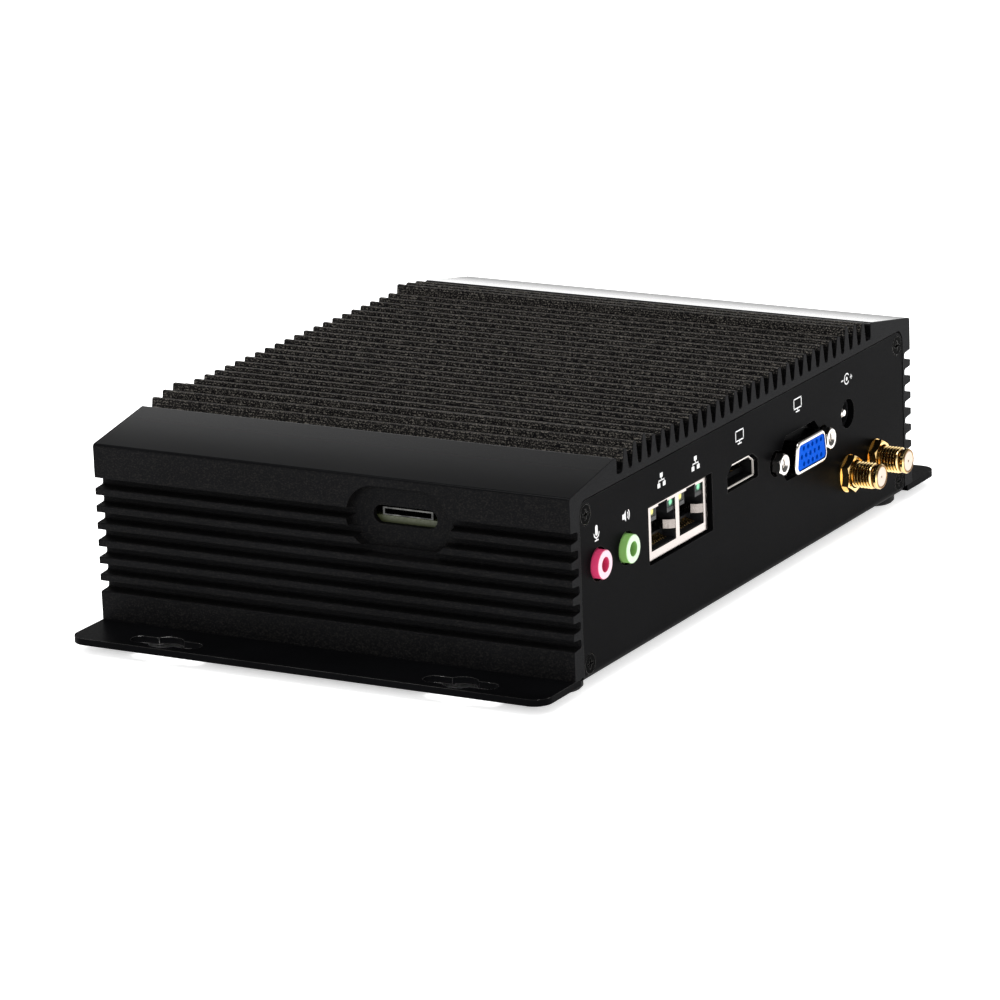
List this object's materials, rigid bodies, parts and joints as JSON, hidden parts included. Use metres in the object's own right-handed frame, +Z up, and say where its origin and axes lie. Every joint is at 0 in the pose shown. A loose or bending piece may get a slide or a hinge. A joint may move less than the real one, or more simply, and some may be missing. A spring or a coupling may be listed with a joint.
{
  "type": "fanless industrial computer",
  "caption": "Fanless computer: black finned heatsink shell over a folded sheet chassis with slotted mounting ears, rubber feet and an end panel of sockets and antenna connectors.",
  "frame": {"origin": "on the floor that the feet stand on, under the middle of the whole outline, which goes from the antenna connectors' tips to the power button's top; the heatsink shell's middle is 4.05 mm further along +Y", "axes": "+Z up; the end with the display and network sockets faces -Y; the side with the card slot faces -X"},
  "size_m": [0.204, 0.135, 0.0518],
  "materials": {
    "black_extrusion": "black anodised, fine blasted",
    "black_sheet": "satin black powder coat",
    "black_screw": "black oxide",
    "foot_rubber": "matte",
    "board_green": "solder mask",
    "bright_steel": "nickel plated",
    "chip_black": "moulded",
    "thermal_grey": "soft pad",
    "plain_aluminium": "milled",
    "gold_plate": "gold plated",
    "pink_plastic": "moulded",
    "lime_plastic": "moulded",
    "blue_plastic": "moulded",
    "black_plastic": "moulded",
    "ivory_plastic": "machined",
    "yellow_lamp": "clear",
    "green_lamp": "clear",
    "clear_lamp": "clear",
    "cable_black": "smooth"
  },
  "bodies": {
    "body": {"heatsink_shell": "black_extrusion", "chassis": "black_sheet", "panel_screws": "black_screw", "rubber_feet": "foot_rubber", "main_board": "board_green", "board_posts": "bright_steel", "board_screws": "bright_steel", "processor": "chip_black", "thermal_pad": "thermal_grey", "heat_block": "plain_aluminium", "memory_socket": "black_plastic", "memory_module": "board_green", "card_sockets": "black_plastic", "storage_card": "board_green", "wireless_card": "board_green", "coin_cell_holder": "black_plastic", "coin_cell": "bright_steel", "power_coils": "chip_black", "capacitors": "bright_steel", "controller_chips": "chip_black", "sim_card_socket": "bright_steel", "audio_housings": "black_plastic", "mic_jack": "pink_plastic", "speaker_jack": "lime_plastic", "network_shell": "bright_steel", "network_insert": "black_plastic", "network_contacts": "gold_plate", "network_lamps_left": "yellow_lamp", "network_lamps_right": "green_lamp", "hd_port_shell": "bright_steel", "hd_port_tongue": "black_plastic", "vga_shell": "bright_steel", "vga_insert": "blue_plastic", "jackscrews": "bright_steel", "dc_jack": "black_plastic", "dc_pin": "bright_steel", "dc_spring": "bright_steel", "antenna_connectors": "gold_plate", "antenna_washers": "gold_plate", "antenna_nuts": "gold_plate", "antenna_insulators": "ivory_plastic", "antenna_contacts": "gold_plate", "antenna_cables": "cable_black", "usb_shells": "bright_steel", "usb_tongues": "black_plastic", "power_button_ring": "bright_steel", "power_button_nut": "bright_steel", "power_switch": "black_plastic", "status_lamps": "clear_lamp"},
    "button": {"power_button": "bright_steel"}
  },
  "joints": [
    {"name": "power_button_press", "type": "slide", "parent": "body", "child": "button", "axis": [0, -1, 0], "range_m": [0, 0.0008], "stiffness_N_per_m": 1500, "springref_m": -0.0005}
  ]
}
